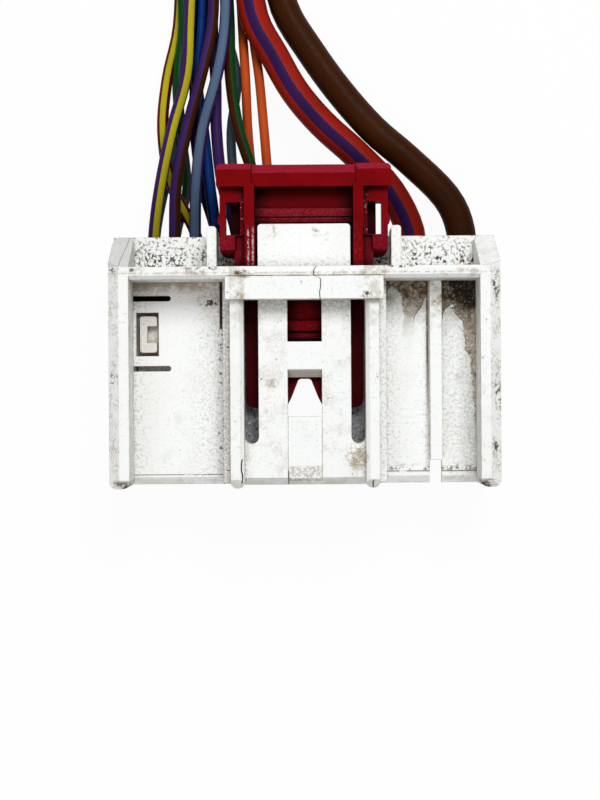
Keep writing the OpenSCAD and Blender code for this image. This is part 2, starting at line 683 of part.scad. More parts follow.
housing();
signal_carrier();
lock_slide();
for (i = [1:13])
    signal_contact(i - 1);
for (i = [1:2])
    power_contact(i - 1);
wire_purple_yellow();
wire_purple_brown();
wire_slate_purple();
wire_blue();
wire_purple();
wire_brown_green();
wire_orange_1();
wire_slate();
wire_red_yellow();
wire_green();
wire_navy();
wire_grey();
wire_orange_2();
power_wire_red();
power_wire_brown();
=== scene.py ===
"""Looks of a wire to board connector housing that lies on its back, latch side up."""

import math

import bpy
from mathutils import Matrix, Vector


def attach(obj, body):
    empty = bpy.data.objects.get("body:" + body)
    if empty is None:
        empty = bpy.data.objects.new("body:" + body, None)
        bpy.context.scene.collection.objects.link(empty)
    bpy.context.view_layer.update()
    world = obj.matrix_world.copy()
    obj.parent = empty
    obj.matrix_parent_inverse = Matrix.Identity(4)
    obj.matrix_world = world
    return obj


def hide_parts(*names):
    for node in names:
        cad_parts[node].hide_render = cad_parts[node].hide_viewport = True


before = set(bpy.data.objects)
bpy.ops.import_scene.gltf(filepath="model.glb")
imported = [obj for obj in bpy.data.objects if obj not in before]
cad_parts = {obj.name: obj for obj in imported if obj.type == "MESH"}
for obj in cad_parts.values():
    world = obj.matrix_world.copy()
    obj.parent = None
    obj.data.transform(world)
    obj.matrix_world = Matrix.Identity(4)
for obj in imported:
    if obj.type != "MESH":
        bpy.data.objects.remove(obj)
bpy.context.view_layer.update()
MM = 0.001
PER_METRE = 1000  # millimetres in a metre

# ---------- camera, in metres ----------

FRONT = 0.021  # height of the front plane that the rails and the ledge share
VIEW_DISTANCE = 0.255  # from the lens to the front plane
VIEW_HEIGHT = 0.1111  # what the picture spans at the front plane, up and down
VIEW_CENTRE = (-0.0007, -0.0056)
VIEW_ROLL = math.radians(-0.4)
SENSOR_HEIGHT = 24  # in mm, like the focal length


def make_camera():
    """A camera that looks straight down at the part."""
    data = bpy.data.cameras.new("camera")
    data.sensor_fit = "VERTICAL"
    data.sensor_height = SENSOR_HEIGHT
    data.lens = SENSOR_HEIGHT * VIEW_DISTANCE / VIEW_HEIGHT
    data.clip_start = 0.01
    camera = bpy.data.objects.new("camera", data)
    camera.location = (*VIEW_CENTRE, FRONT + VIEW_DISTANCE)
    camera.rotation_euler = (0, 0, VIEW_ROLL)
    bpy.context.scene.collection.objects.link(camera)
    bpy.context.scene.camera = camera


# ---------- material helpers ----------

LUMPS = 0.5  # noise scale, in periods a millimetre, that gives lumps of about 1 mm
NEARNESS_SAMPLES = 12
EDGE_SAMPLES = 6
BUMP_SAMPLES = 4


class Nodes:
    """Short calls that add nodes to a material's tree. Places are in mm, in the frame."""

    def __init__(self, name):
        self.material = bpy.data.materials.new(name)
        self.material.use_nodes = True
        self.tree = self.material.node_tree
        self.shader = self.tree.nodes["Principled BSDF"]
        coordinates = self.tree.nodes.new("ShaderNodeTexCoord")
        self.place = coordinates.outputs["Object"]
        self.normal = coordinates.outputs["Normal"]
        self.x, self.y, self.z = (self.math("MULTIPLY", part, PER_METRE) for part in self.parts(self.place))

    def put(self, socket, value):
        if isinstance(value, bpy.types.NodeSocket):
            self.tree.links.new(value, socket)
        else:
            socket.default_value = value

    def parts(self, vector):
        node = self.tree.nodes.new("ShaderNodeSeparateXYZ")
        self.put(node.inputs[0], vector)
        return node.outputs

    def math(self, operation, a, b=0.0):
        node = self.tree.nodes.new("ShaderNodeMath")
        node.operation = operation
        self.put(node.inputs[0], a)
        self.put(node.inputs[1], b)
        return node.outputs[0]

    def both(self, *masks):
        """Where every one of the masks holds."""
        product = masks[0]
        for mask in masks[1:]:
            product = self.math("MULTIPLY", product, mask)
        return product

    def either(self, *masks):
        """Where any of the masks holds."""
        largest = masks[0]
        for mask in masks[1:]:
            largest = self.math("MAXIMUM", largest, mask)
        return largest

    def climb(self, value, low, high, top=1.0):
        """0 below low, rising smoothly to top at high. With high under low it falls instead."""
        node = self.tree.nodes.new("ShaderNodeMapRange")
        node.interpolation_type = "SMOOTHSTEP"
        falls = high < low
        self.put(node.inputs[0], value)
        node.inputs[1].default_value, node.inputs[2].default_value = sorted((low, high))
        node.inputs[3].default_value = top if falls else 0.0
        node.inputs[4].default_value = 0.0 if falls else top
        return node.outputs[0]

    def within(self, value, low, high, soft=0.2):
        """Where a value lies from low to high, with soft ends."""
        rising = self.climb(value, low - soft, low + soft)
        return self.both(rising, self.climb(value, high + soft, high - soft))

    def patch(self, x0, x1, y0, y1, soft=0.3):
        """Where x and y lie in a rectangle with soft edges."""
        return self.both(self.within(self.x, x0, x1, soft), self.within(self.y, y0, y1, soft))

    def spot(self, x, y, rx, ry):
        """1 in the middle of an oval, 0 at its edge."""
        across = self.math("DIVIDE", self.math("SUBTRACT", self.x, x), rx)
        along = self.math("DIVIDE", self.math("SUBTRACT", self.y, y), ry)
        square = self.math("ADD", self.both(across, across), self.both(along, along))
        return self.climb(square, 1.0, 0.0)

    def line(self, points, width, across, along):
        """A thin crooked line through (across, along) points. Its own place is left in self.level."""
        low, high = points[0][1], points[-1][1]
        least = min(p[0] for p in points)
        spread = max(p[0] for p in points) - least
        node = self.tree.nodes.new("ShaderNodeFloatCurve")
        curve = node.mapping.curves[0]
        share = [((p[1] - low) / (high - low), (p[0] - least) / spread) for p in points]
        curve.points[0].location, curve.points[-1].location = share[0], share[-1]
        for place in share[1:-1]:
            curve.points.new(*place)
        node.mapping.update()
        self.put(node.inputs["Value"], self.math("DIVIDE", self.math("SUBTRACT", along, low), high - low))
        place = self.math("ADD", self.math("MULTIPLY", node.outputs[0], spread), least)
        self.level = place
        off = self.math("ABSOLUTE", self.math("SUBTRACT", across, place))
        return self.both(self.climb(off, width, width / 3), self.within(along, low, high, 0.05))

    def noise(self, size, detail=3.0, stretch=(1, 1, 1), rough=0.55, seed=0.0):
        """Soft noise from 0 to 1 whose lumps are about size mm across."""
        node = self.tree.nodes.new("ShaderNodeTexNoise")
        node.inputs["Scale"].default_value = LUMPS * PER_METRE / size
        node.inputs["Detail"].default_value = detail
        node.inputs["Roughness"].default_value = rough
        mapping = self.tree.nodes.new("ShaderNodeMapping")
        mapping.inputs["Scale"].default_value = stretch
        mapping.inputs["Location"].default_value = (seed, seed / 2, 0)
        self.put(mapping.inputs["Vector"], self.place)
        self.put(node.inputs["Vector"], mapping.outputs[0])
        return node.outputs["Fac"]

    def nearness(self, distance):
        """How closed in a place is, from 0 in the open to 1 deep in a corner."""
        node = self.tree.nodes.new("ShaderNodeAmbientOcclusion")
        node.inputs["Distance"].default_value = distance * MM
        node.samples = NEARNESS_SAMPLES
        return self.math("SUBTRACT", 1.0, node.outputs["AO"])

    def mix(self, share, a, b):
        """Colour a where the share is 0, and colour b where it is 1."""
        node = self.tree.nodes.new("ShaderNodeMix")
        node.data_type = "RGBA"
        self.put(node.inputs[0], share)
        for socket, colour in ((node.inputs[6], a), (node.inputs[7], b)):
            self.put(socket, colour if isinstance(colour, bpy.types.NodeSocket) else (*colour, 1))
        return node.outputs[2]

    def cells(self, size):
        """A net of thin cracks round cells about size mm across."""
        node = self.tree.nodes.new("ShaderNodeTexVoronoi")
        node.feature = "DISTANCE_TO_EDGE"
        node.inputs["Scale"].default_value = PER_METRE / size
        self.put(node.inputs["Vector"], self.place)
        return self.climb(node.outputs["Distance"], 0.08, 0.02)

    def edges(self, radius, low=0.02, high=0.2):
        """1 on sharp edges, fading out within that radius in mm."""
        bevel = self.tree.nodes.new("ShaderNodeBevel")
        bevel.samples = EDGE_SAMPLES
        bevel.inputs["Radius"].default_value = radius * MM
        same = self.tree.nodes.new("ShaderNodeVectorMath")
        same.operation = "DOT_PRODUCT"
        self.put(same.inputs[0], bevel.outputs[0])
        self.put(same.inputs[1], self.normal)
        return self.climb(self.math("SUBTRACT", 1.0, same.outputs["Value"]), low, high)

    def bump(self, height, distance, strength=1.0, rounding=0.1):
        """Relief of that many mm, on edges that look rounded to that radius."""
        node = self.tree.nodes.new("ShaderNodeBump")
        edge = self.tree.nodes.new("ShaderNodeBevel")
        edge.samples = BUMP_SAMPLES
        edge.inputs["Radius"].default_value = rounding * MM
        self.put(node.inputs["Normal"], edge.outputs[0])
        node.inputs["Strength"].default_value = strength
        node.inputs["Distance"].default_value = distance * MM
        self.put(node.inputs["Height"], height)
        self.put(self.shader.inputs["Normal"], node.outputs[0])

    def finish(self, colour, roughness):
        self.put(self.shader.inputs["Base Color"], colour)
        self.put(self.shader.inputs["Roughness"], roughness)
        return self.material


# ---------- plastics ----------

# Colours of the plastics, of what lies on them and of the shade and highlights painted on them, linear
WHITE = (0.915, 0.93, 0.92)
IVORY = (0.84, 0.82, 0.75)
GREY_FILM_AND_SHADE = (0.52, 0.53, 0.51)
BEIGE_DIRT_AND_SHADE = (0.41, 0.34, 0.24)
BROWN_DIRT_AND_SHADE = (0.10, 0.06, 0.03)
SOOT_AND_SHADE = (0.018, 0.013, 0.01)
CORNER_DIRT_AND_SHADE = (0.02, 0.01, 0.004)
CRACK_AND_SHADE = (0.06, 0.035, 0.02)
TAN = (0.30, 0.24, 0.16)
SHADE_BLUE_GREY = (0.165, 0.17, 0.195)
PALE_SHADE_BLUE_GREY = (0.27, 0.28, 0.31)
RED = (0.20, 0.0006, 0.003)
DEEP_RED = (0.15, 0.0002, 0.001)
HIGHLIGHT_RED = (0.29, 0.012, 0.03)
WORN_RED = (0.19, 0.008, 0.02)
RECESS_SHADE_RED = (0.05, 0.0001, 0.0003)
DUSTY_RED = (0.2, 0.045, 0.07)
SPECKLE_RED = (0.24, 0.03, 0.065)
SHADE_RED = (0.014, 0.0005, 0.001)
SCUFF_AND_GLINT = (0.62, 0.48, 0.50)
# How strongly each dull surface mirrors, where Blender's own value is 0.5
WHITE_SHEEN = 0.12
RED_SHEEN = 0.03
WIRE_SHEEN = 0.035


def plain_white(n):
    """Aged white plastic: faintly ivory, finely speckled and grimy on its walls; beige in corners and on
    edges, partly grime and partly painted shade; painted grey shade near walls.
    """
    colour = n.mix(n.climb(n.noise(7, 6), 0.45, 0.7, 0.35), WHITE, IVORY)
    grime_and_shade = n.noise(1.2, 10, rough=0.72, seed=3)
    grit = n.noise(0.2, 2, rough=0.6, seed=11)
    spread = n.noise(6, 3, seed=8)
    speckle = n.both(n.climb(grit, 0.56, 0.7, 0.4), n.climb(spread, 0.3, 0.6))
    mottle = n.both(n.climb(grime_and_shade, 0.52, 0.66, 0.3), n.climb(spread, 0.45, 0.65))
    colour = n.mix(n.either(speckle, mottle), colour, GREY_FILM_AND_SHADE)
    facing = n.math("ABSOLUTE", n.parts(n.normal)[2])
    crust = n.noise(0.5, 6, rough=0.7, seed=14)
    walls = n.both(n.climb(facing, 0.65, 0.2, 0.5), n.climb(crust, 0.36, 0.66))
    # Beige outlines on edges: painted shade, partly dirt
    edge_shade_and_dirt = n.both(n.edges(0.15, 0.02, 0.14), n.climb(grime_and_shade, 0.38, 0.52, 0.9))
    # Beige in corners: dirt, deepened by painted shade where the part is closed in
    corners = n.both(n.climb(n.nearness(1.2), 0.25, 0.75, 0.85), n.climb(grime_and_shade, 0.32, 0.54))
    # Painted shade: grey where walls stand near, found by ambient occlusion
    wall_shade = n.both(n.climb(n.nearness(4.5), 0.12, 0.55, 0.8), n.climb(grit, 0.48, 0.62))
    colour = n.mix(wall_shade, colour, GREY_FILM_AND_SHADE)
    return n.mix(n.either(walls, edge_shade_and_dirt, corners), colour, BEIGE_DIRT_AND_SHADE)


def housing_plastic():
    """The housing's plastic, with the flecks, stains and cracks where this one has them."""
    n = Nodes("housing_plastic")
    n.shader.inputs["Specular IOR Level"].default_value = WHITE_SHEEN
    colour = plain_white(n)
    fine = n.noise(0.45, 8, rough=0.7, seed=1)
    grit = n.noise(0.3, 3, rough=0.6, seed=5)
    flake = n.noise(0.26, 3, stretch=(1.2, 1, 1), rough=0.65, seed=2)
    coarse = n.noise(1.3, 9, rough=0.7, seed=4)
    broad = n.noise(3.5, 4, seed=6)
    middle = n.math("ABSOLUTE", n.x)
    below_ledge = n.both(n.climb(n.y, 11.45, 11.3), n.climb(middle, 24.6, 24.5))
    floor_height = n.within(n.z, 13.6, 14.1, 0.1)
    floor = n.both(floor_height, below_ledge)
    rib = n.both(n.within(n.z, 15.8, 16.1, 0.1), below_ledge)
    panel = n.both(n.within(n.z, 10.8, 11.1, 0.1), n.climb(n.y, 12.9, 13.2))
    leg = n.both(n.within(n.z, 18.3, 18.9, 0.05), n.climb(middle, 2.3, 2.5))
    front = n.climb(n.z, 19.5, 20.5)

    # Painted shade: grey on the left shoulder, which faces away from the light. Speckled grey along the left
    # bay's side by its inner rail and over the outer right bay, and painted blue-grey shade in the slots
    # beside the latch arm, paler in the right one
    shoulder = n.both(n.patch(-28, -24.3, 13.1, 18.5, 0.1), n.climb(broad, 0.1, 0.5, 0.6))
    dots = n.noise(0.17, 2, rough=0.6, seed=13)
    beside = n.both(floor, n.within(n.x, -16, -11, 2.4), n.climb(dots, 0.46, 0.68, 0.6))
    outer_bay = n.both(floor, n.climb(n.x, 19, 21), n.climb(dots, 0.42, 0.68, 0.55))
    colour = n.mix(n.either(shoulder, beside, outer_bay), colour, GREY_FILM_AND_SHADE)
    # Painted shade on the slot floors beside the latch arm, paler in the right slot
    slots = n.both(floor_height, n.climb(middle, 8.8, 8.4))
    slot_shade = n.mix(n.climb(n.x, -1, 1), SHADE_BLUE_GREY, PALE_SHADE_BLUE_GREY)
    colour = n.mix(n.both(slots, n.climb(dots, 0.15, 0.5, 0.93)), colour, slot_shade)

    # Darker beige on the floor under the ledge, fading out lower down: painted shadow of the ledge, partly
    # dirt. Black inside the snap tongue's upper slot: painted shade
    under_ledge = n.either(n.climb(n.y, 9.2, 10.8), n.both(n.climb(n.y, 3, 10, 0.5), n.climb(n.x, -17, -12)))
    colour = n.mix(n.both(floor, under_ledge, n.climb(coarse, 0.34, 0.58)), colour, BEIGE_DIRT_AND_SHADE)
    # Painted shade: black inside the snap tongue's upper slot
    upper_slot = n.both(n.climb(n.z, 13.75, 13.5), n.within(n.x, -24.6, -18.2, 0.1),
                        n.within(n.y, 8.3, 9.7, 0.1))
    colour = n.mix(upper_slot, colour, SOOT_AND_SHADE)

    # Stains with a tide line in the right bay
    stain, tide, wash = bay_stain(n, broad, coarse)
    colour = n.mix(n.both(wash, floor, n.climb(coarse, 0.36, 0.62)), colour, GREY_FILM_AND_SHADE)
    fade = n.either(n.climb(n.x, 18, 19), n.climb(n.y, 3.4, 9.5))
    stain = n.both(stain, fade)
    colour = n.mix(n.both(stain, floor, n.climb(dots, 0.25, 0.55, 0.9)), colour, BEIGE_DIRT_AND_SHADE)
    darker = n.both(stain, n.climb(n.y, 1, 9.5), n.climb(grit, 0.3, 0.62), n.climb(coarse, 0.3, 0.5))
    lower = n.both(stain, n.climb(fine, 0.5, 0.62, 0.8))
    outline = n.both(tide, n.climb(fine, 0.3, 0.42, 0.95),
                     n.either(n.climb(n.x, 18, 19), n.climb(n.y, 3.6, 6)))
    colour = n.mix(n.both(floor, n.either(darker, lower, outline)), colour, BROWN_DIRT_AND_SHADE)
    # Brown lines along the ribs' feet: dirt, darkened as painted shade in the creases
    rib_feet = n.either(n.within(n.x, 17.35, 17.65, 0.1), n.within(n.x, 19.35, 19.55, 0.08))
    beside_rib = n.both(floor, rib_feet, n.climb(n.y, -12, 2), n.climb(coarse, 0.34, 0.46, 0.9))
    foot_line = n.either(n.both(n.within(n.y, -15.9, -15.75, 0.07), n.climb(n.x, 11, 11.5)),
                         n.both(n.within(n.y, -16.2, -16.08, 0.06), n.climb(n.x, -11.5, -12)))
    foot_line = n.both(foot_line, n.climb(coarse, 0.36, 0.46, 0.9))
    foot_grime = n.both(n.climb(n.x, 11, 11.5), n.within(n.y, -15.8, -15, 0.5),
                        n.climb(fine, 0.5, 0.56, 0.85))
    bay_foot = n.both(floor, n.either(foot_line, foot_grime))
    rib_top = n.both(rib, n.climb(n.y, 3, 9, 0.7), n.climb(coarse, 0.44, 0.58))
    rib_grit = n.both(rib_top, n.climb(grit, 0.5, 0.6))
    colour = n.mix(n.either(beside_rib, bay_foot, rib_grit), colour, BROWN_DIRT_AND_SHADE)
    colour = n.mix(rib_top, colour, BEIGE_DIRT_AND_SHADE)
    # Near-black in the right bay's upper outer corner, where ledge and outer rail meet: dirt, deepened by
    # painted shade
    ragged = n.math("ADD", n.spot(24.2, 11, 5.4, 5), n.math("MULTIPLY", coarse, 1.2))
    corner = n.both(n.climb(ragged, 0.6, 1.3), floor, n.climb(n.x, 19.4, 20.2), n.climb(dots, 0.16, 0.5))
    colour = n.mix(corner, colour, CORNER_DIRT_AND_SHADE)

    # Beige dirt along the rails, the mating edge and on the legs, and smears on the ledge and elsewhere;
    # beige on the catch's slope. Painted shadow of the bridge at the legs' tops, and a painted shade line
    # across the ledge's front
    rails = n.both(n.climb(middle, 25.7, 26), n.climb(n.y, 12.9, 12.5), n.climb(coarse, 0.42, 0.6),
                   n.climb(dots, 0.4, 0.6, 0.6))
    edge = n.both(n.climb(n.y, -16.3, -17.1, 0.3), n.climb(coarse, 0.4, 0.6))
    worn = n.both(leg, n.climb(n.y, 9, 8.5), n.climb(coarse, 0.46, 0.6, 0.3), n.climb(dots, 0.3, 0.6))
    # Painted shadow of the bridge on the legs' tops
    under_bridge = n.both(leg, n.climb(n.y, 5, 9, 0.65), n.climb(n.y, 9.1, 8.9), n.climb(dots, 0.35, 0.62))
    crests = n.both(front, n.within(middle, 8.3, 10.5), n.climb(n.y, 2, 8, 0.5), n.climb(coarse, 0.4, 0.56))
    steps = n.both(n.within(n.z, 17.8, 18.2, 0.1), n.within(n.x, -11.5, -10.4, 0.1),
                   n.climb(dots, 0.3, 0.6, 0.5))
    slope = n.both(n.within(n.y, -2.8, -1.4, 0.15), n.climb(middle, 2.45, 2.35),
                   n.climb(n.parts(n.normal)[2], 0.97, 0.9), n.climb(fine, 0, 0.5, 0.68))
    smears = n.either(n.spot(-4.6, -3.2, 1.3, 0.9), n.spot(-8.6, 11.9, 1.6, 0.9), n.spot(-9, 8.8, 1.6, 0.8),
                      n.spot(11.3, 9.1, 1.6, 0.9), n.spot(-4.6, 17.6, 1.2, 1.8), n.spot(1.4, 17.8, 2.2, 1),
                      n.spot(7.2, -13.8, 2, 2.2), n.spot(10.2, 12, 3.5, 0.9), n.spot(-14.5, 12.4, 5, 0.8),
                      n.spot(-24, 12.5, 2.5, 0.9), n.spot(22, 12, 4, 0.8))
    smears = n.both(smears, n.climb(coarse, 0.46, 0.56), n.climb(fine, 0.32, 0.55))
    specks = n.either(n.spot(-8.9, 12, 1.6, 0.7), n.spot(-14, 12.8, 3.4, 0.35), n.spot(8.6, 9, 1.2, 0.6),
                      n.spot(-10.3, 9.2, 0.9, 0.4), n.spot(-24.6, 12.6, 1.6, 0.4), n.spot(13, 12.9, 3, 0.3))
    specks = n.both(specks, n.climb(fine, 0.5, 0.56))
    # Painted shade: a faint line across the ledge's front, at its lower bevel
    ledge_line = n.both(n.within(n.y, 12, 12.25, 0.1), n.climb(n.z, 16, 17), n.climb(fine, 0.42, 0.54, 0.6))
    beige = n.either(rails, edge, worn, under_bridge, crests, steps, slope, smears, ledge_line)
    colour = n.mix(beige, colour, BEIGE_DIRT_AND_SHADE)
    cracked = n.cells(0.7)
    foot = n.both(n.patch(-2.35, 2.35, -17.2, -14.8, 0.15), n.climb(n.y, -14, -15.4))
    crazing = n.either(n.both(foot, n.either(n.climb(grit, 0.4, 0.66), cracked)),
                       n.both(n.spot(7.2, -13.6, 2.4, 2.6), cracked, n.climb(middle, 8.6, 8.4)))
    colour = n.mix(n.both(crazing, n.climb(n.z, 17.9, 18.2), n.climb(broad, 0.2, 0.55, 0.75)), colour, TAN)
    noses = n.both(n.climb(n.y, -16.5, -17.3), n.climb(middle, 24, 24.6), n.climb(coarse, 0.42, 0.56))
    pits = n.either(n.spot(26.8, 10.2, 0.9, 2.8), n.spot(26.4, -12.3, 1.1, 1.7), n.spot(26.9, -5.4, 0.7, 5),
                    n.spot(-26.9, 12.9, 0.8, 0.9), n.spot(-26.6, -2.6, 0.9, 1.4))
    pits = n.both(pits, n.climb(fine, 0.5, 0.56))
    noses = n.both(n.either(noses, pits), n.climb(n.z, 16, 18))
    colour = n.mix(n.either(noses, n.both(specks, front)), colour, BROWN_DIRT_AND_SHADE)

    # Black and brown flecks, thick on the recessed panels and thin elsewhere, and a near-black line on the
    # left bay's floor by its inner rail, painted shade of a deep slit
    crowd = n.both(n.climb(coarse, 0.4, 0.54), n.climb(n.y, 19, 14.5))
    thick = n.math("ADD", flake, n.climb(n.x, 0, -1, 0.022))
    sparse = n.climb(thick, 0.61, 0.65, 0.85)
    panels = n.both(panel, n.either(sparse, n.both(crowd, n.climb(thick, 0.53, 0.56))))
    floors = n.both(n.either(floor, rib), n.climb(fine, 0.67, 0.7, 0.75))
    group = n.both(n.spot(-13.6, 8.6, 2, 1.5), n.climb(fine, 0.52, 0.57), floor)
    # Painted shade: the near-black line of a deep slit beside the left inner rail
    gap = n.both(n.patch(-12.1, -11.45, 4.6, 11.4, 0.08), floor, n.climb(fine, 0.24, 0.34))
    in_slots = n.both(slots, n.climb(flake, 0.56, 0.62, 0.8))
    rest = n.both(n.either(front, leg), n.climb(fine, 0.64, 0.67, 0.8), n.climb(coarse, 0.44, 0.54))
    step_flecks = n.both(n.within(n.x, -12.4, -9.9, 0.3), n.climb(n.z, 19.6, 19.4),
                         n.climb(fine, 0.58, 0.62, 0.9))
    tint = n.mix(n.climb(n.noise(0.8, 2, seed=12), 0.4, 0.6), SOOT_AND_SHADE, BROWN_DIRT_AND_SHADE)
    colour = n.mix(n.either(panels, floors, group, gap, in_slots, rest, step_flecks), colour, tint)

    # Cracks: over the bridge, down the left inner rail, in the right one's nose and beside the arm's foot.
    # Then a line on the left shoulder, and a dark ring painted as shade round the right outer rail's rounded
    # nose.
    cracks = n.either(
        n.line([(2.2, 8.4), (2.12, 9.2), (2.26, 10.2), (2.25, 11.1),
                (1.6, 11.5), (1.3, 12.1), (1.5, 12.7), (1.9, 13.1)], 0.1, n.x, n.y),
        n.line([(-8.95, -17.2), (-8.75, -16.2), (-8.9, -15.2), (-8.75, -13.8)], 0.14, n.x, n.y),
        n.line([(9.55, -17.8), (9.4, -17.3), (9.5, -16.8)], 0.14, n.x, n.y),
        n.line([(-2.42, -17.5), (-2.36, -16.6), (-2.42, -15.4)], 0.09, n.x, n.y))
    cracks = n.both(cracks, n.climb(n.z, 17.2, 17.6))
    shoulder_line = n.line([(-25.9, 13), (-25.6, 15), (-25.2, 17), (-25.1, 18.6)], 0.09, n.x, n.y)
    shoulder_line = n.both(shoulder_line, shoulder)
    # Painted shade: a dark ring round the right outer rail's rounded nose
    hollow = n.math("SUBTRACT", 1, n.climb(n.spot(26, -17.2, 1, 0.45), 0.2, 0.4))
    ring = n.both(n.spot(26, -17.2, 1.1, 0.55), hollow, front, n.climb(fine, 0.3, 0.45))
    colour = n.mix(n.either(cracks, shoulder_line, ring), colour, CRACK_AND_SHADE)

    relief = n.math("SUBTRACT", n.math("MULTIPLY", fine, 0.25), cracks)
    n.bump(relief, 0.05, 0.7, 0.15)
    return n.finish(colour, n.math("ADD", n.climb(coarse, 0.2, 0.8, 0.22), 0.42))


def bay_stain(n, broad, coarse):
    """Where the right bay is stained, the dark line at the stain's edge, and the faint wash below it."""
    shift = n.math("MULTIPLY", n.math("SUBTRACT", broad, 0.5), 3.5)
    ragged = n.math("MULTIPLY", n.math("SUBTRACT", coarse, 0.5), 4.5)
    place = n.math("ADD", n.math("ADD", n.y, shift), ragged)
    across = n.math("ADD", n.x, n.math("MULTIPLY", ragged, 0.5))
    inner = n.line([(9.4, 11.6), (10.5, 12.2), (10.7, 12.6), (10.3, 13.1), (9.2, 13.6), (8, 13.95),
                    (5.5, 14.15), (3.7, 14.6), (3.3, 14.95), (3.9, 15.3), (5.3, 15.6), (6.5, 16),
                    (7.5, 16.7), (8.6, 17.2), (9.3, 17.6)], 0.22, place, across)
    inner_rise = n.math("SUBTRACT", place, n.level)
    outer = n.line([(4.2, 19.4), (6.7, 20), (7.4, 20.9), (6.9, 21.9), (5.2, 22.4), (2.6, 22.8),
                    (1.8, 23.1), (0.2, 23.5), (-2.8, 23.8), (-6, 24.1), (-9, 24.5)], 0.25, place, across)
    outer_rise = n.math("SUBTRACT", place, n.level)
    bays = ((inner_rise, n.within(n.x, 11.6, 17.65, 0.02)), (outer_rise, n.within(n.x, 19.4, 24.5, 0.02)))
    stain = n.either(*(n.both(n.climb(rise, -0.1, 0.25), bay) for rise, bay in bays))
    faint = n.either(*(n.both(n.either(n.within(rise, -0.9, -0.86, 0.07),
                                       n.within(rise, -1.9, -1.86, 0.08)), bay) for rise, bay in bays))
    wash = n.either(*(n.both(n.climb(rise, -4.5, 0, 0.4), bay) for rise, bay in bays))
    return stain, n.either(inner, outer, n.both(faint, n.climb(coarse, 0.46, 0.6, 0.55))), wash


def carrier_plastic():
    """The carrier's plastic, greyer than the housing's."""
    n = Nodes("carrier_plastic")
    n.shader.inputs["Specular IOR Level"].default_value = WHITE_SHEEN
    grain = n.noise(0.6, 4)
    colour = n.mix(0.3, plain_white(n), BEIGE_DIRT_AND_SHADE)
    # Painted shade: black under the snap tongue's upper slot, and brown in the gap round the catch nose
    colour = n.mix(n.both(n.within(n.y, 8.2, 10.4, 0.1), n.climb(n.x, -17, -17.5)), colour, SOOT_AND_SHADE)
    nose = n.patch(-23.5, -20.95, 1.25, 6.55, 0.05)
    gap = n.both(n.patch(-24.3, -20.4, 0.4, 7.4, 0.1), n.math("SUBTRACT", 1, nose))
    colour = n.mix(n.both(gap, n.climb(grain, 0, 0.4, 0.6)), colour, BROWN_DIRT_AND_SHADE)
    n.bump(grain, 0.01)
    return n.finish(colour, n.math("ADD", n.climb(grain, 0.2, 0.8, 0.2), 0.45))


def red_plastic():
    """Crimson plastic with dust on its ridges and scuffs down the posts, painted highlights on its +y faces,
    rims, frames and scuffs, and painted shade in its recess and hollows.
    """
    n = Nodes("red_plastic")
    n.shader.inputs["Specular IOR Level"].default_value = RED_SHEEN
    fine = n.noise(0.3, 7, rough=0.7)
    broad = n.noise(3, 4, seed=2)
    colour = n.mix(n.climb(broad, 0.3, 0.7), DEEP_RED, RED)
    facing = n.parts(n.normal)
    # Painted light: faces turned to +y, towards the key lamp, and glints on the rims are lighter red
    edges = n.both(n.climb(facing[1], 0.2, 0.7, 0.85), n.climb(fine, 0.25, 0.5))
    rim_glints = n.both(n.edges(0.2), n.climb(fine, 0.45, 0.62, 0.4))
    colour = n.mix(n.either(edges, rim_glints), colour, HIGHLIGHT_RED)
    low = n.climb(n.z, 17.9, 17.4)
    middle = n.math("ABSOLUTE", n.x)
    arms = n.both(low, n.climb(n.y, 22, 17), n.climb(middle, 8.2, 8.5), n.climb(fine, 0.35, 0.6, 0.5))
    colour = n.mix(arms, colour, WORN_RED)
    # Painted shade in the handle's recess
    recess = n.both(n.patch(-7, 7, 21.6, 25, 0.3), n.climb(n.z, 17.9, 17.4, 0.5))
    colour = n.mix(recess, colour, RECESS_SHADE_RED)
    dots = n.noise(0.13, 2, rough=0.6, seed=7)
    dust = n.both(n.patch(-8, 8, 19.3, 21.5, 0.15), low, n.climb(dots, 0.35, 0.7, 0.5))
    colour = n.mix(dust, colour, DUSTY_RED)
    colour = n.mix(n.both(n.climb(n.y, 21, 17), n.climb(dots, 0.5, 0.68, 0.4)), colour, SPECKLE_RED)
    # Painted glints on the window frames, and pale scuffs down the posts, partly wear and partly painted
    # highlight
    frame_glints = n.both(n.within(middle, 8.4, 9.1, 0.05), n.within(n.y, 18, 23.6), n.climb(fine, 0.56, 0.64, 0.6))
    columns = n.either(n.within(n.x, -7.95, -7.7, 0.06), n.within(n.x, -7.3, -7.05, 0.06))
    scuffs_and_glints = n.both(columns, n.within(n.y, 12.8, 18.6, 0.3), n.climb(n.z, 18, 18.4),
                    n.climb(dots, 0.46, 0.54, 0.85))
    colour = n.mix(n.either(frame_glints, scuffs_and_glints), colour, SCUFF_AND_GLINT)
    # Painted shade: nearly black red in hollows and deep slots, where ambient occlusion finds the part closed
    # in
    grime_and_shade = n.both(n.climb(n.nearness(3), 0.18, 0.56, 0.94), n.climb(broad, 0.05, 0.35))
    colour = n.mix(grime_and_shade, colour, SHADE_RED)
    n.bump(fine, 0.012)
    return n.finish(colour, n.math("ADD", n.climb(fine, 0.25, 0.75, 0.2), 0.4))


def contact_metal():
    """Brushed metal of the hidden contacts."""
    n = Nodes("contact_metal")
    n.shader.inputs["Metallic"].default_value = 1
    grain = n.noise(0.6, 3, stretch=(1, 0.1, 1))
    colour = n.mix(n.climb(grain, 0.3, 0.7), (0.55, 0.44, 0.24), (0.78, 0.68, 0.46))
    return n.finish(colour, n.math("ADD", n.climb(grain, 0.2, 0.8, 0.15), 0.22))


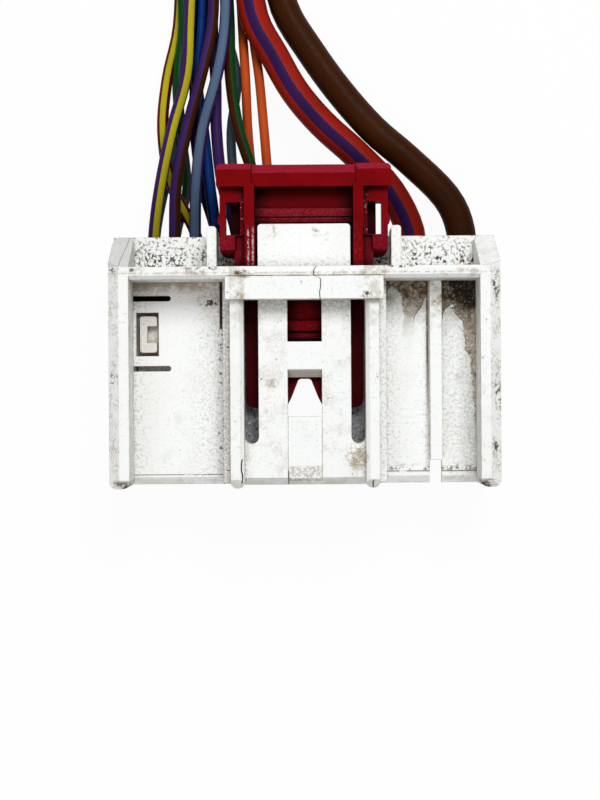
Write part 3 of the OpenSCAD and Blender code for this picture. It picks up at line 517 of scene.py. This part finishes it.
def insulation(name, colour):
    """Wire insulation, slightly uneven and dusty, with painted shade near the plug, on its flanks and where
    wires lie close.
    """
    n = Nodes("insulation_" + name)
    n.shader.inputs["Specular IOR Level"].default_value = WIRE_SHEEN
    streaks = n.noise(1.6, 4, stretch=(1, 0.25, 1))
    fine = n.noise(0.3, 4, rough=0.65, seed=5)
    tone = n.mix(n.climb(streaks, 0.3, 0.7), [c * 0.8 for c in colour], colour)
    tone = n.mix(n.climb(fine, 0.6, 0.74, 0.25), tone, [0.8 * c + 0.04 for c in colour])
    # Painted shade: darker near the plug, on the tube's flanks and between wires
    near_plug = n.climb(n.y, 36, 20, 0.45)
    flanks = n.climb(n.parts(n.normal)[2], 0.7, 0.05, 0.6)
    shade = n.either(n.climb(n.nearness(3), 0.35, 0.9, 0.8), near_plug, flanks)
    tone = n.mix(shade, tone, [c * 0.15 for c in colour])
    n.bump(fine, 0.008)
    return n.finish(tone, n.math("ADD", n.climb(fine, 0.3, 0.7, 0.2), 0.32))


def copper():
    """Copper of the strands."""
    n = Nodes("copper")
    n.shader.inputs["Metallic"].default_value = 1
    grain = n.noise(0.5)
    colour = n.mix(grain, (0.55, 0.22, 0.1), (0.85, 0.42, 0.24))
    return n.finish(colour, n.math("ADD", n.climb(grain, 0.2, 0.8, 0.2), 0.25))


# ---------- wires ----------

# Each wire's route in mm, the same points as in the CAD source
ROUTES = {
    "wire_purple_yellow": [(-21.8, 12, 8.4), (-21.8, 18.6, 8.4), (-20.8, 26, 8.5), (-19.1, 34, 8.3),
                           (-17, 42, 7.4), (-16.6, 50, 6), (-16.3, 60, 4.5), (-16.4, 72, 4)],
    "wire_purple_brown": [(-18.8, 12, 8.4), (-18.8, 18.6, 8.4), (-18.5, 26, 8.4), (-16.9, 34, 8.2),
                          (-14.8, 42, 7.4), (-13.2, 50, 6), (-13.1, 60, 4.5), (-13.4, 72, 4)],
    "wire_slate_purple": [(-15.8, 12, 8.4), (-15.8, 18.6, 8.4), (-15.6, 26, 8.4), (-14.6, 34, 8.4),
                          (-12.5, 42, 7.4), (-11.3, 50, 6), (-11.3, 60, 4.6), (-11.6, 72, 4.1)],
    "wire_blue": [(-12.8, 12, 8.4), (-12.8, 18.6, 8.4), (-13.7, 26, 7.5), (-14.6, 34, 6.2),
                  (-15.6, 42, 5.2), (-15, 50, 4.3), (-14.7, 60, 3.1), (-14.9, 72, 2.7)],
    "wire_purple": [(-9.8, 12, 8.4), (-9.8, 18.6, 8.4), (-11.8, 26, 8.2), (-12.7, 34, 6.1),
                    (-12.8, 42, 5.1), (-13.3, 50, 3.6), (-13, 60, 2.4), (-13.1, 72, 2.1)],
    "wire_brown_green": [(-6.8, 12, 8.4), (-6.8, 18.6, 8.4), (-7, 26, 8.2), (-9.4, 34, 7.6),
                         (-10.6, 42, 5.9), (-10.8, 50, 3.9), (-11.2, 60, 2.6), (-11.3, 72, 2.3)],
    "wire_orange_1": [(-3.8, 12, 8.4), (-3.8, 18.6, 8.4), (-5, 26, 8), (-5.7, 34, 6.4),
                      (-6.4, 42, 5), (-7.4, 50, 2.2), (-7.6, 60, 0.9), (-7.6, 72, 0.8)],
    "wire_slate": [(-21.8, 12, 5), (-21.8, 18.6, 5), (-20.5, 26, 3.9), (-18.5, 34, 3.3),
                   (-18.7, 42, 2.5), (-17.9, 50, 1.4), (-17.1, 60, 0.8), (-16.9, 72, 0.8)],
    "wire_green": [(-18.8, 12, 5), (-18.8, 18.6, 5), (-17.3, 26, 3), (-17.9, 34, 5.2),
                   (-18.3, 42, 5.9), (-17.6, 50, 4.6), (-18, 60, 3.9), (-18.2, 72, 3.5)],
    "wire_red_yellow": [(-15.8, 12, 5), (-15.8, 18.6, 5), (-19.3, 26, 6.4), (-20.6, 34, 5.9),
                        (-20, 42, 4.4), (-18.4, 50, 3), (-18.1, 60, 2.2), (-18.3, 72, 1.9)],
    "wire_navy": [(-12.8, 12, 5), (-12.8, 18.6, 5), (-14.8, 26, 4.8), (-15.9, 34, 4.2),
                  (-15.9, 42, 3.2), (-15.4, 50, 2.4), (-15.4, 60, 1.1), (-15.2, 72, 0.9)],
    "wire_grey": [(-9.8, 12, 5), (-9.8, 18.6, 5), (-10.2, 26, 5), (-10.6, 34, 4.8),
                  (-9.7, 42, 3.9), (-11.3, 50, 1.7), (-11.7, 60, 0.8), (-11.8, 72, 0.7)],
    "wire_orange_2": [(-6.8, 12, 5), (-6.8, 18.6, 5), (-7.4, 26, 5.2), (-8.1, 34, 5.2),
                      (-8.4, 42, 5.2), (-8.9, 50, 2.4), (-9.3, 60, 0.9), (-9.4, 72, 0.8)],
    "power_wire_red": [(15.6, 13.5, 7), (15.6, 19, 7), (12.7, 25, 7), (7.9, 30.2, 7), (2.9, 34.8, 7),
                       (-1.1, 39.6, 6.8), (-4.1, 45, 6.2), (-7.1, 51, 5.4), (-8.1, 60, 4.1), (-8.3, 72, 3.7)],
    "power_wire_brown": [(23, 13.5, 7), (23, 19, 7), (20.9, 24, 7), (15.4, 29.5, 7), (10.3, 34, 6.8),
                         (5.5, 39.6, 6.2), (1.2, 45.8, 5.2), (-2.6, 52.5, 4), (-3.6, 60, 2.9),
                         (-3.7, 72, 2.3)],
}
COLOURS = {
    "purple": (0.045, 0.016, 0.10),
    "yellow": (0.45, 0.385, 0.011),
    "brown": (0.043, 0.011, 0.002),
    "slate": (0.08, 0.13, 0.21),
    "blue": (0.002, 0.03, 0.17),
    "navy": (0.004, 0.004, 0.045),
    "dark_red": (0.10, 0.003, 0.003),
    "green": (0.003, 0.055, 0.009),
    "grey": (0.06, 0.09, 0.12),
    "orange": (0.52, 0.072, 0.012),
    "red": (0.29, 0.013, 0.006),
    "violet": (0.03, 0.009, 0.068),
}
# Diameter in mm, colour, and the stripe: its colour, and its middle and half-width in degrees
WIRES = {
    "wire_purple_yellow": (1.7, "purple", ("yellow", 62, 35)),
    "wire_purple_brown": (1.7, "purple", ("brown", 20, 60)),
    "wire_slate_purple": (1.7, "purple", ("slate", 95, 46)),
    "wire_blue": (1.7, "navy", ("blue", 75, 50)),
    "wire_purple": (1.7, "purple", None),
    "wire_brown_green": (1.7, "brown", ("green", 45, 38)),
    "wire_orange_1": (1.4, "orange", None),
    "wire_slate": (1.4, "slate", None),
    "wire_red_yellow": (1.7, "dark_red", ("yellow", 90, 30)),
    "wire_green": (1.4, "green", ("grey", 35, 50)),
    "wire_navy": (1.7, "navy", None),
    "wire_grey": (1.4, "grey", None),
    "wire_orange_2": (1.4, "orange", None),
    "power_wire_red": (4.3, "red", ("violet", 100, 20)),
    "power_wire_brown": (4.3, "brown", None),
}
SIDES = 36  # of a wire's tube
ROUTE_STEPS = 39  # of a wire's whole line, at most
STRAND_SIDES = 10
STRAND_SHARE = 0.62  # of a wire's radius, filled by strands
STRAND_SINK = 0.4  # in mm, into the wire
STRAND_REACH = 0.14  # in mm, out of the wire, on average
STRAND_UNEVEN = 0.07  # in mm, more or less than that
TWO_RINGS_FROM = 0.0015  # radius in metres from which a wire has two rings of strands


def smooth_route(points):
    """A smooth line through a route's points, in metres."""
    p = [Vector(q) * MM for q in points]
    p = [2 * p[0] - p[1], *p, 2 * p[-1] - p[-2]]
    steps = ROUTE_STEPS // (len(points) - 1)
    line = []
    for a, b, c, d in zip(p, p[1:], p[2:], p[3:]):
        for i in range(steps):
            t = i / steps
            line.append(0.5 * (2 * b + (c - a) * t + (2 * a - 5 * b + 4 * c - d) * t**2
                               + (3 * b - 3 * c + d - a) * t**3))
    return [*line, p[-2]]


def frame_at(line, i):
    """The wire's direction at a point of its line, and two directions across it."""
    ahead = (line[min(i + 1, len(line) - 1)] - line[max(i - 1, 0)]).normalized()
    side = ahead.cross(Vector((0, 0, 1))).normalized()
    return ahead, side, side.cross(ahead)


def make_strands(name, line, radius, material):
    """The copper strands that show at a wire's cut end, in rings round the middle one."""
    ahead, side, up = frame_at(line, len(line) - 1)
    rings = 2 if radius > TWO_RINGS_FROM else 1
    thick = STRAND_SHARE * radius / (2 * rings + 1)
    n = STRAND_SIDES
    verts, faces = [], []
    for ring in range(rings + 1):
        for k in range(max(1, 6 * ring)):
            turn = 2 * math.pi * k / max(1, 6 * ring)
            middle = line[-1] + 2 * ring * thick * (math.cos(turn) * side + math.sin(turn) * up)
            first = len(verts)
            reach = STRAND_REACH + STRAND_UNEVEN * math.sin(5 * k + 2 * ring + 900 * radius)
            for step in (-STRAND_SINK, reach):
                for j in range(n):
                    a = 2 * math.pi * j / n
                    verts.append(middle + step * MM * ahead + thick * (math.cos(a) * side + math.sin(a) * up))
            for j in range(n):
                beside = (j + 1) % n
                faces.append((first + j, first + beside, first + n + beside, first + n + j))
            faces += [[first + j for j in range(n - 1, -1, -1)], [first + n + j for j in range(n)]]
    mesh = bpy.data.meshes.new(name)
    mesh.from_pydata(verts, [], faces)
    mesh.materials.append(material)
    strands = bpy.data.objects.new(name + "_strands", mesh)
    bpy.context.scene.collection.objects.link(strands)
    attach(strands, "plug")
    return strands


def make_wire(name, materials):
    """A wire's tube along its route, with its stripe, and the strands at its cut end."""
    diameter, base, stripe = WIRES[name]
    line = smooth_route(ROUTES[name])
    radius = diameter / 2 * MM
    verts, faces, marks = [], [], []
    for i, place in enumerate(line):
        _, side, up = frame_at(line, i)
        for j in range(SIDES):
            a = 2 * math.pi * j / SIDES
            verts.append(place + radius * (math.cos(a) * side + math.sin(a) * up))
    for i in range(len(line) - 1):
        for j in range(SIDES):
            k = (j + 1) % SIDES
            faces.append((i * SIDES + j, i * SIDES + k, (i + 1) * SIDES + k, (i + 1) * SIDES + j))
            marks.append(int(on_stripe(stripe, j)))
    last = (len(line) - 1) * SIDES
    faces += [[j for j in range(SIDES - 1, -1, -1)], [last + j for j in range(SIDES)]]
    marks += [0, 0]  # the two ends have no stripe
    mesh = bpy.data.meshes.new(name)
    mesh.from_pydata(verts, [], faces)
    mesh.materials.append(materials[base])
    if stripe:
        mesh.materials.append(materials[stripe[0]])
    mesh.polygons.foreach_set("material_index", marks)
    mesh.shade_smooth()
    wire = bpy.data.objects.new(name + "_skin", mesh)
    bpy.context.scene.collection.objects.link(wire)
    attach(wire, "plug")
    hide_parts(name)
    strands = make_strands(name, line, radius, materials["copper"])


def on_stripe(stripe, side):
    """Whether that side of a wire's tube has the stripe's colour."""
    if not stripe:
        return False
    _, middle, half = stripe
    angle = 360 * (side + 0.5) / SIDES - middle
    return abs((angle + 180) % 360 - 180) < half


def make_wires():
    """All the wires, and one material for each colour that they share."""
    materials = {name: insulation(name, c) for name, c in COLOURS.items()}
    materials["copper"] = copper()
    for name in WIRES:
        make_wire(name, materials)


# ---------- CAD nodes ----------


def dress(node, material):
    """Give a CAD node a material in place of its own."""
    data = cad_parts[node].data
    data.materials.clear()
    data.materials.append(material)


# ---------- stage ----------

FLOOR_REACH = 2  # in metres from the middle to each side
FLOOR_GLOW = 0.95  # share of plain white in what the camera sees of the floor; the rest keeps the shadow
WORLD_STRENGTH = 0.372
# Place in metres, size in metres and power in watts; each lamp points at the origin
LAMPS = {
    "key": ((0.12, 0.4, 0.6), 0.3, 3.42),
    "fill": ((-0.3, -0.3, 0.7), 0.5, 1.24),
}


def make_floor():
    """A pale floor. The camera, metal and glass see it nearly white, with the part's shadow on it."""
    reach = FLOOR_REACH
    corners = [(-reach, -reach, 0), (reach, -reach, 0), (reach, reach, 0), (-reach, reach, 0)]
    mesh = bpy.data.meshes.new("floor")
    mesh.from_pydata(corners, [], [(0, 1, 2, 3)])
    floor = bpy.data.objects.new("floor", mesh)
    bpy.context.scene.collection.objects.link(floor)
    material = bpy.data.materials.new("floor")
    material.use_nodes = True
    tree = material.node_tree
    shader = tree.nodes["Principled BSDF"]
    shader.inputs["Base Color"].default_value = (0.85, 0.85, 0.85, 1)
    shader.inputs["Roughness"].default_value = 0.9
    glow = tree.nodes.new("ShaderNodeEmission")
    path = tree.nodes.new("ShaderNodeLightPath")
    share = tree.nodes.new("ShaderNodeMath")
    share.operation = "MULTIPLY"
    share.inputs[1].default_value = FLOOR_GLOW
    seen = tree.nodes.new("ShaderNodeMath")
    seen.use_clamp = True
    tree.links.new(path.outputs["Is Camera Ray"], seen.inputs[0])
    tree.links.new(path.outputs["Is Glossy Ray"], seen.inputs[1])
    through = tree.nodes.new("ShaderNodeMath")
    through.use_clamp = True
    tree.links.new(seen.outputs[0], through.inputs[0])
    tree.links.new(path.outputs["Is Transmission Ray"], through.inputs[1])
    blend = tree.nodes.new("ShaderNodeMixShader")
    tree.links.new(through.outputs[0], share.inputs[0])
    tree.links.new(share.outputs[0], blend.inputs[0])
    tree.links.new(shader.outputs[0], blend.inputs[1])
    tree.links.new(glow.outputs[0], blend.inputs[2])
    tree.links.new(blend.outputs[0], tree.nodes["Material Output"].inputs[0])
    mesh.materials.append(material)


def make_lights():
    """An even white world and two soft lamps."""
    world = bpy.data.worlds.new("studio")
    bpy.context.scene.world = world
    world.use_nodes = True
    world.node_tree.nodes["Background"].inputs[0].default_value = (1, 1, 1, 1)
    world.node_tree.nodes["Background"].inputs[1].default_value = WORLD_STRENGTH
    for name, (place, size, power) in LAMPS.items():
        data = bpy.data.lights.new(name, "AREA")
        data.size = size
        data.energy = power
        lamp = bpy.data.objects.new(name, data)
        lamp.location = place
        lamp.rotation_euler = (-Vector(place)).to_track_quat("-Z", "Y").to_euler()
        bpy.context.scene.collection.objects.link(lamp)


# ---------- making ----------

bpy.context.scene.view_settings.view_transform = "Standard"
make_camera()
make_wires()
dress("housing", housing_plastic())
dress("signal_carrier", carrier_plastic())
dress("lock_slide", red_plastic())
METAL = contact_metal()
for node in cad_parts:
    if "contact" in node:
        dress(node, METAL)
make_floor()
make_lights()
